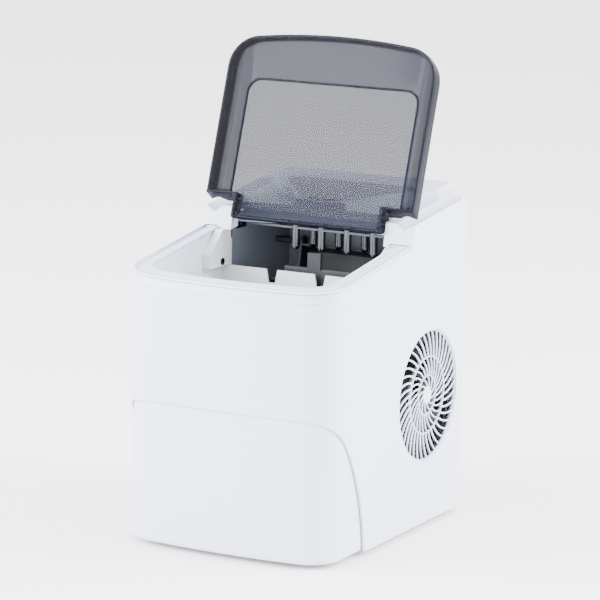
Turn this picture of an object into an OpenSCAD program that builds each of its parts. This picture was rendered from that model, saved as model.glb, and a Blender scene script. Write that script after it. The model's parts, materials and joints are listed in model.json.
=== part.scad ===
// Countertop bullet-ice maker. Millimetres, Z up, front towards -Y, origin under the middle of the body.

/* [Body] */
// Width over the sides
body_w = 224; // [220:1:228]
// Depth from the middle of the bulged front to the rear edge
body_d = 300; // [296:1:304]
// Height of the front rim, where the slope of the top starts
rim_z = 258; // [254:1:262]
// Slope of the rim and the lid, in degrees
tilt = 8.23; // [7:0.01:9]
// Radius of the shallow bulge of the front
front_r = 672; // [640:1:720]
// Radius of the two front corners
corner_r = 37; // [34:1:40]
// Radius of the two rear corners
rear_r = 13; // [10:1:16]
// Thickness of the moulded walls
wall = 2.5; // [2:0.1:3]
// Height of the gap under the body, filled by the feet
floor_gap = 5; // [4:0.5:7]

/* [Lower front panel] */
// Height of the panel's top seam at the front
seam_h = 140; // [130:1:150]
// How far back the seam reaches at the bottom of the sides
seam_d = 83; // [75:1:90]
// Exponent of the seam's curve, where 2 is an ellipse
seam_n = 1.7; // [1.5:0.05:2.2]

/* [Top cover and lid] */
// Height of the cover's flat top at its front edge
cover_z = 301; // [299:0.5:303]
// Rise of the cover's flat top per millimetre of depth
cover_rise = 0.122; // [0.115:0.001:0.13]
// Height of the console above the rim plane
console_t = 25; // [23:0.5:27]
// Angle that the lid turns through from open to closed
lid_swing = 116; // [100:1:120]
// Half width over the lid's sides
lid_hw = 110.7; // [109:0.1:111.5]
// Depth of the lid's shell
lid_t = 17.2; // [15:0.1:17.5]
// How far the two buttons travel
button_travel = 1.2; // [0.8:0.1:1.5]

/* [Side grille and fan] */
// Radius of the round hole in the side
grille_r = 64; // [60:1:66]
// Distance of the fan's axle behind the middle of the body
fan_y = 63; // [60:1:66]
// Height of the fan's axle
fan_z = 131; // [126:1:134]

/* [Ice making] */
// Angle that the water tray tips through
tray_swing = 80; // [70:1:82]
// Spacing of the freezing fingers along a row
finger_pitch = 28; // [27:0.5:29]
// Radius of a freezing finger
finger_r = 4; // [3.5:0.1:4.2]
// Height of the fingers' lower ends
finger_z = 260; // [258:1:262]
// Height of the ledge that the basket stands on
ledge_z = 166; // [160:1:170]
// Height of the notched wall between the bin and the freezing chamber
weir_z = 243; // [240:1:246]

/* [Hidden] */
$fn = 48;

half_w = body_w / 2;
front_y = -body_d / 2;
back_y = body_d / 2;
far = 400;
shell_inset = 0.8;
panel_inset = 3.3;
skirt_h = 11;
skirt_y = -112;
rim_plate = 3.2;
rear_face = back_y - 2;
inner_rear = rear_face - wall;
ledge = 12;
tub_wall = 2.2;
tub_floor = 20;
lip_h = 14;
hinge = [0, 26, 297.5];
pin_r = 1.5;
running = 0.05;
tray_axle = [0, 88, 262];
shovel_axle = [0, 34, 232];
shovel_r = 2.5;
tray_r = 3;
discharge_r = 3.2;
suction_r = 3.6;
manifold_z = 290.2;
manifold_r = 4.2;
drain_x = 4;
drain_z = 32;
inlet = [-70, rear_face, 28];
bin_rear = 24;
fan_at = [0, 76, 122];
fan_ring = 48;
notch_x = [-40.5, 11.6, 63.7];
basket_hw = 84;
basket_top = 224;
compressor_at = [-50, 88, 0];
pump_at = [31, 38, 0];
rows = [[52, 5, -30], [74, 4, -22]];
lamps = [-42, -21, 0, 21, 42];
lamp_y = 97;
button_y = 57;

// Points along an arc; first and last leave out points at its ends
function arc(c, r, a0, a1, n, first = 0, last = 0) =
    [for (i = [first:n - last]) let (a = a0 + (a1 - a0) * i / n) [c[0] + r * cos(a), c[1] + r * sin(a)]];

// Outline with a bulged front of radius R, front corners rf and rear corners rr
function rounded_plan(hw, fy, rf, ry, rr, R) =
    let (yc = fy + R, cx = hw - rf, cy = yc - sqrt(pow(R - rf, 2) - cx * cx), a = atan2(cy - yc, cx))
    concat(arc([0, yc], R, -180 - a, a, 14), arc([cx, cy], rf, a, 0, 10, 1),
        arc([hw - rr, ry - rr], rr, 0, 90, 5), arc([rr - hw, ry - rr], rr, 90, 180, 5),
        arc([-cx, cy], rf, 180, 180 - a, 10, 0, 1));

// The body's outline, d inside its outermost surface
function plan(d) =
    rounded_plan(half_w - d, front_y + d, corner_r - d, back_y - d, max(rear_r - d, 1), front_r - d);

// The bin's outline, grown by g
function tub(g) = rounded_plan(94.5 + g, front_y + 16 - g, 27 + g, bin_rear + g, 0.4, front_r - 16 + g);

// The basket's outline, shrunk by g
function basket(g) = rounded_plan(basket_hw - g, -123.5 + g, 18 - g, 4 - g, 6 - g, front_r - 26 - g);

// Heights of the sloped rim plane and of the cover's top, at a depth y
function rim(y, t = 0) = rim_z + (y - front_y) * tan(tilt) + t / cos(tilt);
function top(y, down = 0) = cover_z + (y - 18) * cover_rise - down;

// Region under the front seam, grown by g, down to a height of low
function seam(g, low) = concat(
    [for (i = [0:20]) let (a = 90 * i / 20)
        [front_y + (seam_d + g) * pow(cos(a), 2 / seam_n), max(low, (seam_h + g) * pow(sin(a), 2 / seam_n))]],
    [[front_y - 20, seam_h + g], [front_y - 20, low - 0.001]]);

// The collar's inner edge, grown by g; its right side steps in beside the hinge
function collar_hole(g) =
    let (R = front_r - 16 + g, yc = front_y + front_r, rf = 27 + g, cx = 67.5,
        cy = yc - sqrt(pow(R - rf, 2) - cx * cx), a = atan2(cy - yc, cx))
    concat(arc([0, yc], R, -180 - a, a, 14), arc([cx, cy], rf, a, 0, 10, 1),
        [[94.5 + g, -17], [86.6 + g, 12], [86.6 + g, 30], [-94.5 - g, 30]],
        arc([-cx, cy], rf, 180, 180 - a, 10, 0, 1));

// The recess for the lid's tab, grown by g
function recess(g) = concat([[-82 - g, 0], [82 + g, 0], [82 + g, 37 + g]],
    arc([0, -539.6], 584.6 + g, 82.2, 97.8, 12), [[-82 - g, 37 + g]]);

// The console's shield outline, shrunk by g
function shield(g) = concat(arc([0, 68.4], 36.4 - g, -137.9, -42.1, 12),
    [[91.5 - g, 124 + g / 3], [91 - g, back_y - 2 - g], [g - 91, back_y - 2 - g], [g - 91.5, 124 + g / 3]]);

// The film's outline, shrunk by g
function film(g) = concat(arc([0, 69], 30 - g, -126.9, -53.1, 10), arc([60, 107], 8.5 - g, -40, 90, 8),
    arc([-60, 107], 8.5 - g, 90, 220, 8));

// One button's half-lens outline on side s, grown by g
function half_lens(s, g) =
    [for (i = [0:16]) let (a = -90 + 180 * i / 16) [s * (2 - g + (17 + 2 * g) * cos(a)), (9 + g) * sin(a)]];

// Slopes a side outline, given as depth and height, across the width w
module across(points, w = body_w + 40) {
    rotate([90, 0, 90]) translate([0, 0, -w / 2]) linear_extrude(w) polygon(points);
}

module prism(points, z0 = 0, h = far) {
    translate([0, 0, z0]) linear_extrude(h) polygon(points);
}

module wall_ring(d, t) {
    linear_extrude(far) difference() {
        polygon(plan(d));
        polygon(plan(d + t));
    }
}

module ring_plate(r1, r0, h) {
    linear_extrude(h) difference() {
        circle(r = r1, $fn = 96);
        if (r0 > 0) circle(r = r0, $fn = 96);
    }
}

module along_x(x0, x1, y, z, r) {
    translate([x0, y, z]) rotate([0, 90, 0]) cylinder(r = r, h = x1 - x0);
}

module along_y(y0, y1, x, z, r) {
    translate([x, y1, z]) rotate([90, 0, 0]) cylinder(r = r, h = y1 - y0);
}

// Straight runs of pipe with a wider brazed socket at each corner
module pipe(points, r) {
    for (i = [0:len(points) - 2]) {
        v = points[i + 1] - points[i];
        L = norm(v);
        translate(points[i]) rotate([0, acos(v[2] / L), atan2(v[1], v[0])]) cylinder(r = r, h = L);
    }
    for (i = [1:len(points) - 2]) translate(points[i]) sphere(r = r + 0.8);
}

module on_console(y) {
    translate([0, y, rim(y, console_t)]) rotate([tilt, 0, 0]) children();
}

module outer_shell() {
    color("white") difference() {
        intersection() {
            wall_ring(shell_inset, wall);
            across([[-200, floor_gap], [200, floor_gap], [200, rim(200, -rim_plate - 0.2)],
                [-200, rim(-200, -rim_plate - 0.2)]]);
        }
        across([[-200, rim(-200, -skirt_h)], [skirt_y, rim(skirt_y, -skirt_h)], [skirt_y, far], [-200, far]]);
        across(seam(0, 0));
        translate([-96, 140, -1]) cube([192, 20, far]);
        translate([90, fan_y, fan_z]) rotate([0, 90, 0]) cylinder(r = grille_r, h = 40, $fn = 96);
    }
}

module lower_front_panel() {
    color("white") intersection() {
        wall_ring(panel_inset, wall);
        across(seam(4, floor_gap));
    }
}

module rear_panel() {
    color("white") translate([0, rear_face, 0]) rotate([90, 0, 0]) linear_extrude(wall) difference() {
        polygon([[-95.7, floor_gap], [95.7, floor_gap], [95.7, rim(rear_face, -rim_plate - 0.2)],
            [-95.7, rim(rear_face, -rim_plate - 0.2)]]);
        for (x = [-62, -20, 22], i = [0:15]) translate([x, 92 + i * 8]) square([38, 3.4]);
        translate([inlet[0], inlet[2]]) circle(r = 6);
        translate([drain_x, drain_z]) circle(r = 8.5);
    }
}

module base_pan() {
    color("whitesmoke") difference() {
        union() {
            prism(plan(panel_inset + wall), floor_gap, 3);
            intersection() {
                prism(plan(shell_inset + wall), floor_gap, 3);
                translate([-150, -60, 0]) cube([300, 300, 20]);
            }
        }
        translate([-150, inner_rear, 0]) cube([300, 20, 20]);
        for (i = [0:6]) translate([40, 20 + i * 14, 0]) cube([40, 6, 20]);
        foot_places() cylinder(r = 3 + running, h = 20);
    }
}

module foot_places() {
    for (x = [-84, 84], y = [-104, 122]) translate([x, y, 0]) children();
}

module feet() {
    color("dimgray") foot_places() {
        cylinder(r = 9, h = floor_gap);
        cylinder(r = 3, h = floor_gap + 6);
    }
}

module bin_collar() {
    color("white") union() {
        intersection() {
            linear_extrude(far) difference() {
                polygon(plan(0));
                polygon(collar_hole(0));
            }
            across([[-200, rim(-200, -rim_plate)], [16, rim(16, -rim_plate)],
                [16, rim(16)], [-200, rim(-200)]]);
        }
        intersection() {
            wall_ring(0, wall + shell_inset);
            across([[-200, rim(-200, -skirt_h + 0.2)], [skirt_y - 0.3, rim(skirt_y - 0.3, -skirt_h + 0.2)],
                [skirt_y - 0.3, rim(skirt_y - 0.3)], [-200, rim(-200)]]);
        }
        intersection() {
            linear_extrude(far) difference() {
                polygon(collar_hole(tub_wall));
                polygon(collar_hole(0));
            }
            across([[-200, rim(-200, -lip_h)], [16, rim(16, -lip_h)], [16, rim(16)], [-200, rim(-200)]]);
        }
    }
}

module bin_tub() {
    color("lightgray") difference() {
        union() {
            intersection() {
                prism(tub(tub_wall), ledge_z - tub_wall, 200);
                across([[-200, 0], [200, 0], [200, rim(200, -lip_h)], [-200, rim(-200, -lip_h)]]);
            }
            prism(tub(tub_wall - ledge), tub_floor, ledge_z - tub_floor);
        }
        prism(tub(0), ledge_z);
        prism(tub(-ledge), tub_floor + tub_wall);
        translate([-86, bin_rear - 1, weir_z]) cube([180.5, 10, 200]);
        translate([0, bin_rear + 5, 0]) rotate([90, 0, 0]) linear_extrude(10) for (x = notch_x)
            polygon([[x - 3.6, weir_z - 13], [x + 3.6, weir_z - 13],
                     [x + 6.2, weir_z + 1], [x - 6.2, weir_z + 1]]);
        along_y(-20, 20, drain_x, drain_z, 5);
    }
}

module foam_jacket() {
    color("ghostwhite") difference() {
        intersection() {
            prism(plan(panel_inset + wall + 1), 30, 126);
            translate([-150, -200, 0]) cube([300, 200, 300]);
        }
        prism(tub(tub_wall - ledge + 0.2), 0);
        prism(tub(tub_wall + 0.2), ledge_z - tub_wall - 0.2);
    }
}

module evaporator_housing() {
    color("slategray") difference() {
        prism([[-88.2, 26.4], [-66, 106.5], [97, 106.5], [97, 26.4]], 201, 82);
        prism([[-86, 25], [-86, 26.4], [-64, 104.5], [95, 104.5], [95, 25]], 203, 78);
        translate([-150, 0, 278]) cube([300, 48, 20]);
        for (row = rows, i = [0:row[1] - 1]) translate([row[2] + i * finger_pitch, row[0], 270])
            cylinder(r = finger_r + 0.3, h = 30);
        along_x(-90, 110, shovel_axle[1], shovel_axle[2], shovel_r + running);
        along_x(-90, 110, tray_axle[1], tray_axle[2], tray_r + running);
        translate([pump_at[0], pump_at[1], 190]) cylinder(r = 5.2, h = 20);
    }
}

module cover_groove(s) {
    mirror([s < 0 ? 1 : 0, 0, 0]) translate([0, 18, cover_z]) rotate([atan(cover_rise), 0, 0])
        translate([0, 150, 0]) rotate([90, 0, 0]) linear_extrude(170)
            polygon([[89.5, 3], [101.5, -6.5], [111, -0.8], [116, -0.8], [116, 3]]);
}

module top_cover() {
    color("white") difference() {
        union() {
            intersection() {
                prism(plan(0));
                across([[15.9, rim(15.9, -rim_plate)], [16.4, rim(16.4)], [19.8, top(19.8)], [160, top(160)],
                    [160, rim(160, -rim_plate)]]);
            }
            intersection() {
                prism(shield(0));
                across([[0, top(0, 2)], [0, rim(0, console_t)],
                        [160, rim(160, console_t)], [160, top(160, 2)]]);
            }
            intersection() {
                difference() {
                    prism(recess(2.6), 280);
                    translate([-150, -10, 0]) cube([300, 43, far]);
                }
                across([[0, 280], [0, top(0, 2)], [60, top(60, 2)], [60, 280]]);
            }
        }
        prism(recess(0));
        difference() {
            union() {
                intersection() {
                    prism(plan(2.8));
                    across([[19.4, 270], [19.4, rim(19.4)], [22.6, top(22.6, 3)],
                        [160, top(160, 3)], [160, 270]], 180);
                }
                intersection() {
                    prism(plan(2.8));
                    across([[19.4, 270], [19.4, rim(19.4)], [21.4, top(21.4, 9.3)],
                        [160, top(160, 9.3)], [160, 270]]);
                }
                intersection() {
                    prism(shield(4));
                    across([[36, 280], [36, rim(36, console_t - 3)],
                            [160, rim(160, console_t - 3)], [160, 280]]);
                }
            }
            prism(recess(2.6));
        }
        cover_groove(1);
        cover_groove(-1);
        intersection() {
            prism(film(-0.2));
            across([[0, rim(0, console_t - 0.8)], [160, rim(160, console_t - 0.8)], [160, far], [0, far]]);
        }
        on_console(button_y) for (s = [-1, 1]) prism(half_lens(s, 0.4), -12, 24);
        on_console(lamp_y) for (x = lamps) translate([x, 0, -12]) cylinder(r = 2.6, h = 24);
        along_x(-93, -70, hinge[1], hinge[2], pin_r + running);
        along_x(70, 93, hinge[1], hinge[2], pin_r + running);
    }
}

module hinge_pins() {
    color("silver") {
        along_x(-90, -73, hinge[1], hinge[2], pin_r);
        along_x(73, 90, hinge[1], hinge[2], pin_r);
    }
}

// The hinge's place in the shut lid's own frame: distance up the slope and height off the rim plane
lid_pin = [(hinge[1] - front_y) * cos(tilt) + (hinge[2] - rim_z) * sin(tilt),
    (hinge[2] - rim_z) * cos(tilt) - (hinge[1] - front_y) * sin(tilt)];

// The lid lies on the rim plane when it is shut, and is stored swung up about its hinge
module lid_frame() {
    translate(hinge) rotate([-lid_swing, 0, 0]) translate(-hinge)
        translate([0, front_y, rim_z]) rotate([tilt, 0, 0]) children();
}

module lid_section(down) {
    translate([0, 200, 0]) rotate([90, 0, 0]) linear_extrude(220) polygon([
        [-120, -5], [120, -5], [120, lid_t - 0.5 - down], [lid_hw, lid_t - 0.5 - down],
        [101.5, lid_t - 6.5 - down], [93, lid_t - down], [-93, lid_t - down],
        [-101.5, lid_t - 6.5 - down], [-lid_hw, lid_t - 0.5 - down], [-120, lid_t - 0.5 - down]]);
}

module lid() {
    color([0.4, 0.4, 0.45, 0.5]) lid_frame() difference() {
        union() {
            intersection() {
                prism(rounded_plan(lid_hw, 5.2, 32, 190, 1, front_r), -5, 40);
                lid_section(0);
                across([[0, 0.3], [166.9, 0.3], [172.8, lid_t], [49, lid_t], [0, lid_t - 5.6]]);
            }
            across([[165, 0.3], [165, lid_t], [175, lid_t], [184, 15.2], [188.6, 11], [190, 5.5],
                [189.3, -0.5], [176, -0.5]], 159.6);
            for (x = [-1, 1]) translate([x * 76.2, lid_pin[0], lid_pin[1]]) rotate([0, 90, 0])
                cylinder(r = 3.4, h = 7.2, center = true);
        }
        difference() {
            intersection() {
                prism(rounded_plan(lid_hw - 2.8, 8, 29.2, 190, 1, front_r - 2.8), -5, 40);
                lid_section(2.8);
                across([[0, -1], [164.2, -1], [169.4, lid_t - 2.8], [49, lid_t - 2.8], [0, lid_t - 8.4]]);
            }
            translate([0, lid_pin[0], lid_pin[1]])
                rotate([0, 90, 0]) cylinder(r = 3.4, h = 159, center = true);
        }
        difference() {
            across([[150, -2], [150, lid_t - 2.8], [174.5, lid_t - 2.8], [182.5, 12.4], [185.6, 9.4],
                [187, 5], [186.4, -2]], 153);
            for (x = [-1, 1]) translate([x * 75.5, lid_pin[0], lid_pin[1]]) rotate([0, 90, 0])
                cylinder(r = 3.4, h = 6, center = true);
        }
        translate([0, lid_pin[0], lid_pin[1]])
            rotate([0, 90, 0]) cylinder(r = pin_r + running, h = 200, center = true);
    }
}

module control_film() {
    color("gray") difference() {
        intersection() {
            prism(film(0));
            across([[0, rim(0, console_t - 0.8)], [160, rim(160, console_t - 0.8)],
                [160, rim(160, console_t)], [0, rim(0, console_t)]]);
        }
        on_console(button_y) for (s = [-1, 1]) prism(half_lens(s, 0.4), -12, 24);
        on_console(lamp_y) for (x = lamps) translate([x, 0, -12]) cylinder(r = 2.6, h = 24);
    }
}

module indicator_lenses() {
    color("aliceblue") on_console(lamp_y)
        for (x = lamps) translate([x, 0, -10.4]) cylinder(r = 2.5, h = 10.4);
}

module button_cap(s) {
    color("silver") on_console(button_y) prism(half_lens(s, 0), -7, 7 + button_travel);
}

module on_off_button() {
    button_cap(-1);
}

module select_button() {
    button_cap(1);
}

module control_board() {
    color("darkgreen") union() {
        intersection() {
            prism(film(1.5));
            across([[50, rim(50, console_t - 12)], [120, rim(120, console_t - 12)],
                [120, rim(120, console_t - 10.4)], [50, rim(50, console_t - 10.4)]]);
        }
        on_console(button_y) for (s = [-1, 1]) translate([s * 9 - 3, -3, -10.6]) cube([6, 6, 2.2]);
    }
}

// One swirl bar between two radii, turned back by a sweep angle towards its inner end
module swirl_bar(r0, r1, a, sweep, w) {
    p = [r0 * cos(a), r0 * sin(a)];
    q = [r1 * cos(a + sweep), r1 * sin(a + sweep)];
    n = [-(q - p)[1], (q - p)[0]] / norm(q - p) * w / 2;
    polygon([p - n, q - n, q + n, p + n]);
}

module side_grille() {
    color("white") translate([half_w - shell_inset - 4, fan_y, fan_z]) rotate([90, 0, 90]) union() {
        ring_plate(grille_r - 0.3, grille_r - 3, 4);
        translate([0, 0, 1]) linear_extrude(2.6) {
            difference() {
                circle(r = 38.6, $fn = 96);
                circle(r = 36.4, $fn = 96);
            }
            difference() {
                circle(r = 20, $fn = 96);
                circle(r = 18, $fn = 96);
            }
            circle(r = 8.7, $fn = 96);
            for (i = [0:39]) swirl_bar(38, grille_r - 2, i * 9, 12, 3);
            for (i = [0:27]) swirl_bar(19.4, 37, i * 360 / 28, 18, 2.4);
            for (i = [0:11]) swirl_bar(8, 18.6, i * 30, 30, 2.2);
        }
    }
}

module fan_shroud() {
    color("dimgray") translate([78, fan_at[1], fan_at[2]]) rotate([90, 0, 90]) union() {
        linear_extrude(3) difference() {
            translate([-fan_ring, -fan_ring]) square(2 * fan_ring);
            circle(r = fan_ring - 3, $fn = 96);
        }
        ring_plate(fan_ring - 0.5, fan_ring - 2.5, 26);
        ring_plate(19, 1.8, 3);
        for (a = [45:90:315]) rotate([0, 0, a]) translate([17, -3, 0]) cube([30, 6, 3]);
    }
}

module fan_motor() {
    color("silver") translate(fan_at) rotate([90, 0, 90]) translate([0, 0, 81]) difference() {
        union() {
            cylinder(r = 16, h = 9);
            cylinder(r = 6, h = 11);
        }
        translate([0, 0, 1]) cylinder(r = pin_r + running, h = 20);
    }
}

module fan_rotor() {
    color("dimgray") translate(fan_at) rotate([90, 0, 90]) union() {
        translate([0, 0, 92.5]) cylinder(r = 18, h = 10);
        translate([0, 0, 83]) cylinder(r = pin_r, h = 12);
        for (i = [0:6]) rotate([0, 0, i * 360 / 7]) translate([16, 0, 97]) rotate([28, 0, 0])
            translate([0, -11, -0.9]) cube([26, 22, 1.8]);
    }
}

// Height of the condenser's tube rows
function tube_z(k) = 86 + 22 * k;

module condenser_fins() {
    color("silver") for (i = [0:15])
        translate([0, 36 + i * 5, 0]) rotate([90, 0, 0]) linear_extrude(0.6) difference() {
            translate([50, 74]) square([26, 88]);
            for (k = [0:3]) translate([63, tube_z(k)]) circle(r = 3.6);
        }
}

module condenser_tube() {
    color("peru") union() {
        for (k = [0:3]) along_y(32, 119, 63, tube_z(k), 3.5);
        for (k = [0:2]) translate([63, k % 2 == 0 ? 34 : 117, tube_z(k + 0.5)])
            rotate([0, 90, k % 2 == 0 ? 180 : 0])
                rotate_extrude(angle = 180) translate([11, 0]) circle(r = 4);
    }
}

module compressor() {
    color("#202124") difference() {
        translate(compressor_at) union() {
            rotate_extrude() polygon([[0, 19], [38, 19], [45, 27], [47, 40], [47, 122], [43, 137],
                [30, 147], [0, 150]]);
            translate([0, 0, 16]) cylinder(r = 50, h = 4);
        }
        translate([-35, 88, 142]) cylinder(r = discharge_r + running, h = 20);
        translate([-62, 78, 142]) cylinder(r = suction_r + running, h = 20);
    }
}

module compressor_mounts() {
    color("black") for (a = [90, 210, 330]) translate(compressor_at + [42 * cos(a), 42 * sin(a), 8])
        cylinder(r = 7, h = 8);
}

module relay_cover() {
    color("black") translate([-68, 22, 70]) cube([36, 19, 42]);
}

module filter_drier() {
    color("peru") translate([24, 112, 100]) rotate_extrude()
        polygon([[0, -8], [3, -8], [3, 0], [9, 8], [9, 44], [3, 52], [3, 60], [0, 60]]);
}

module capillary_coil() {
    color("peru") for (k = [0:3]) translate([24, 112, 168 + 3 * k]) rotate_extrude()
        translate([13, 0]) circle(r = 1, $fn = 16);
}

module hot_gas_valve() {
    color("brown") translate([24, 74, 150]) union() {
        translate([-11, -11, 8]) cube([22, 22, 24]);
        translate([0, 0, -8]) cylinder(r = 6, h = 18);
        translate([0, 0, 30]) cylinder(r = 4, h = 6);
    }
}

module discharge_line() {
    color("peru") pipe([[-35, 88, 142.2], [-35, 88, 180], [-35, 134, 180], [63, 134, 180], [63, 134, 152],
        [63, 119.5, 152]], discharge_r);
}

module suction_line() {
    color("peru") pipe([[-37, 52, manifold_z], [-50, 52, manifold_z], [-50, 118, manifold_z],
        [-50, 118, 176], [-62, 118, 176], [-62, 78, 176], [-62, 78, 142.2]], suction_r);
}

module evaporator_manifold() {
    color("silver") union() {
        for (row = rows) along_x(-37, 90, row[0], manifold_z, manifold_r);
        translate([84, 52, manifold_z - 3]) cube([5, 22, 6]);
    }
}

module freezing_fingers() {
    color("silver") difference() {
        for (row = rows, i = [0:row[1] - 1]) translate([row[2] + i * finger_pitch, row[0], 0])
            rotate_extrude() polygon([[0, finger_z], [2.4, finger_z + 0.4], [3.5, finger_z + 1.6],
                [finger_r, finger_z + 3.6], [finger_r, 288], [0, 288]]);
        for (row = rows) along_x(-60, 110, row[0], manifold_z, manifold_r + running);
    }
}

// The tray is drawn level, as it stands while ice grows, and is stored tipped down about its axle
module tray_frame() {
    translate(tray_axle) rotate([tray_swing, 0, 0]) translate(-tray_axle) children();
}

module water_tray() {
    color("lightgray") tray_frame() union() {
        difference() {
            translate([25, 0, 0])
                across([[36, 270], [36, 256], [42, 248], [80, 248], [86, 254], [86, 268]], 130);
            translate([25, 0, 0])
                across([[38, 280], [38, 256.8], [43, 250], [79.2, 250], [84, 254.8], [84, 280]], 126);
        }
        for (x = [-40, 88]) along_x(x, x + 2, tray_axle[1], tray_axle[2], 6);
        along_x(88, 96.8, tray_axle[1], tray_axle[2], tray_r);
        along_x(-76, -38, tray_axle[1], tray_axle[2], tray_r);
    }
}

module tray_crank() {
    color("white") tray_frame() along_x(-84, -76, tray_axle[1], tray_axle[2], 10);
}

module tray_gear_motor() {
    color("gainsboro") union() {
        translate([-104, 74, 246]) cube([20, 34, 34]);
        translate([-104, 86, 238]) cube([4, 16, 50]);
    }
}

module ice_shovel() {
    color("slategray") union() {
        translate([30, 0, 0])
            across([[31.5, 229.5], [31.5, 245], [33, 247], [36.5, 247], [36.5, 229.5]], 122);
        along_x(-85.5, 96.8, shovel_axle[1], shovel_axle[2], shovel_r);
        translate([-6, 31.5, 243]) cube([14, 3, 19]);
    }
}

module ice_sensor_box() {
    color("white") difference() {
        translate([-90.2, 0, 0]) across([[-16, 244], [-16, 258], [7, 279.5], [15.4, 279.5],
            [15.4, 278.2], [23.8, 278.2], [23.8, 244]], 8.4);
        along_x(-88, -80, 8, 248.5, 3.55);
    }
}

module ice_sensor_lens() {
    color("black") along_x(-88, -85.4, 8, 248.5, 3.5);
}

module ice_basket() {
    color("white") difference() {
        prism(basket(0), ledge_z + 0.3, basket_top - ledge_z - 0.3);
        prism(basket(2), ledge_z + 2.7);
        for (x = [-66:12:66]) translate([x - 2.5, -110, ledge_z]) cube([5, 100, 5]);
        for (x = [-66:12:66]) translate([x - 2, -140, ledge_z + 12]) cube([4, 160, 34]);
        for (y = [-100:12:-16]) translate([-100, y - 2, ledge_z + 12]) cube([200, 4, 34]);
    }
}

module pump_body() {
    color("dimgray") translate(pump_at) difference() {
        union() {
            translate([0, 0, 8]) cylinder(r = 18, h = 40);
            translate([0, 0, 46]) cylinder(r = 6.5, h = 6);
        }
        translate([0, 0, 14]) cylinder(r = 14, h = 14);
        translate([0, 0, 10]) cylinder(r = pin_r + running, h = 6);
        translate([0, 0, 24]) cylinder(r = 4, h = 40);
    }
}

module pump_impeller() {
    color("white") translate(pump_at) union() {
        translate([0, 0, 11]) cylinder(r = pin_r, h = 12);
        translate([0, 0, 15]) cylinder(r = 12, h = 2);
        for (a = [0:60:300]) rotate([0, 0, a]) translate([1, -0.8, 16]) cube([10.5, 1.6, 8]);
    }
}

module pump_hose() {
    color("gainsboro") translate(pump_at) difference() {
        translate([0, 0, 52]) cylinder(r = 5, h = 158);
        translate([0, 0, 50]) cylinder(r = 3.6, h = 170);
    }
}

module drain_spout() {
    color("gainsboro") difference() {
        union() {
            along_y(12.2, 146, drain_x, drain_z, 4.9);
            along_y(146, 149, drain_x, drain_z, 8.2);
        }
        along_y(-10, 160, drain_x, drain_z, 3.6);
    }
}

module drain_cap() {
    color("darkgray") union() {
        along_y(149, 150, drain_x, drain_z, 8);
        along_y(138, 149.5, drain_x, drain_z, 3.5);
    }
}

module power_board() {
    color("green") union() {
        translate([-106, 34, 166]) cube([1.6, 92, 64]);
        translate([-104.6, 42, 172]) cube([17, 24, 30]);
        translate([-104.6, 78, 174]) cube([12, 14, 20]);
        translate([-104.6, 102, 176]) cube([14, 16, 22]);
        for (y = [46, 66, 86, 106]) translate([-104.6, y, 214]) cube([10, 8, 8]);
    }
}

module power_inlet() {
    color("black") translate(inlet) rotate([-90, 0, 0]) rotate_extrude()
        polygon([[3.6, -10], [5.8, -10], [5.8, 0], [8.5, 0], [8.5, 1.2], [6.5, 2], [3.6, 2]]);
}

module rear_screws() {
    color("silver") for (x = [-89, 89], z = [16, 150, 284])
        translate([x, rear_face, z]) rotate([-90, 0, 0]) difference() {
        cylinder(r = 3.4, h = 1.8);
        translate([-2.4, -0.5, 0.9]) cube([4.8, 1, 2]);
        translate([-0.5, -2.4, 0.9]) cube([1, 4.8, 2]);
    }
}

outer_shell();
lower_front_panel();
rear_panel();
base_pan();
feet();
bin_collar();
bin_tub();
foam_jacket();
evaporator_housing();
top_cover();
hinge_pins();
lid();
control_film();
indicator_lenses();
on_off_button();
select_button();
control_board();
side_grille();
fan_shroud();
fan_motor();
fan_rotor();
condenser_fins();
condenser_tube();
compressor();
compressor_mounts();
relay_cover();
filter_drier();
capillary_coil();
hot_gas_valve();
discharge_line();
suction_line();
evaporator_manifold();
freezing_fingers();
water_tray();
tray_gear_motor();
tray_crank();
ice_shovel();
ice_sensor_box();
ice_sensor_lens();
ice_basket();
pump_body();
pump_impeller();
pump_hose();
drain_spout();
drain_cap();
power_board();
power_inlet();
rear_screws();
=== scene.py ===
# %% [markdown]
# A countertop ice maker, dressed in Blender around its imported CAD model.
# The CAD model fixes every size and every joint, so it is loaded first and nothing in it moves.
# Pieces that the eye meets first are made again with soft edges, and the others keep their CAD shape.

# %% Load the fixed model
import json
import math
import bmesh
import bpy
from mathutils import Matrix, Vector


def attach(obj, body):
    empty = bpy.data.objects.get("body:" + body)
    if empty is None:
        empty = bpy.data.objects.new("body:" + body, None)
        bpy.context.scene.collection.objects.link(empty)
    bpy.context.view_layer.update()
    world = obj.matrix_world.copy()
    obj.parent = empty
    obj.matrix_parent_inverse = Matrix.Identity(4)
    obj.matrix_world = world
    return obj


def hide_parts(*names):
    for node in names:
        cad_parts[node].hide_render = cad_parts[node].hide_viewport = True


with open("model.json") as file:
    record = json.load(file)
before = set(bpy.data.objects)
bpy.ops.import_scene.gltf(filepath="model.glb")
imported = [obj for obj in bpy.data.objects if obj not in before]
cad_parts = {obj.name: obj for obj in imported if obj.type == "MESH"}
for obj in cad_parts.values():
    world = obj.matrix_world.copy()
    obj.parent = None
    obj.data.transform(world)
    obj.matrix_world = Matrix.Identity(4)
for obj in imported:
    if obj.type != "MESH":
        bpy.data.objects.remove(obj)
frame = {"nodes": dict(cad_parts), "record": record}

bpy.context.view_layer.update()
nodes = frame["nodes"]

# %% [markdown]
# The camera stands well back with a long lens, so upright edges stay almost parallel.
# It could be aimed at a target, but turning it by three named angles keeps its slight roll too.

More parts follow.
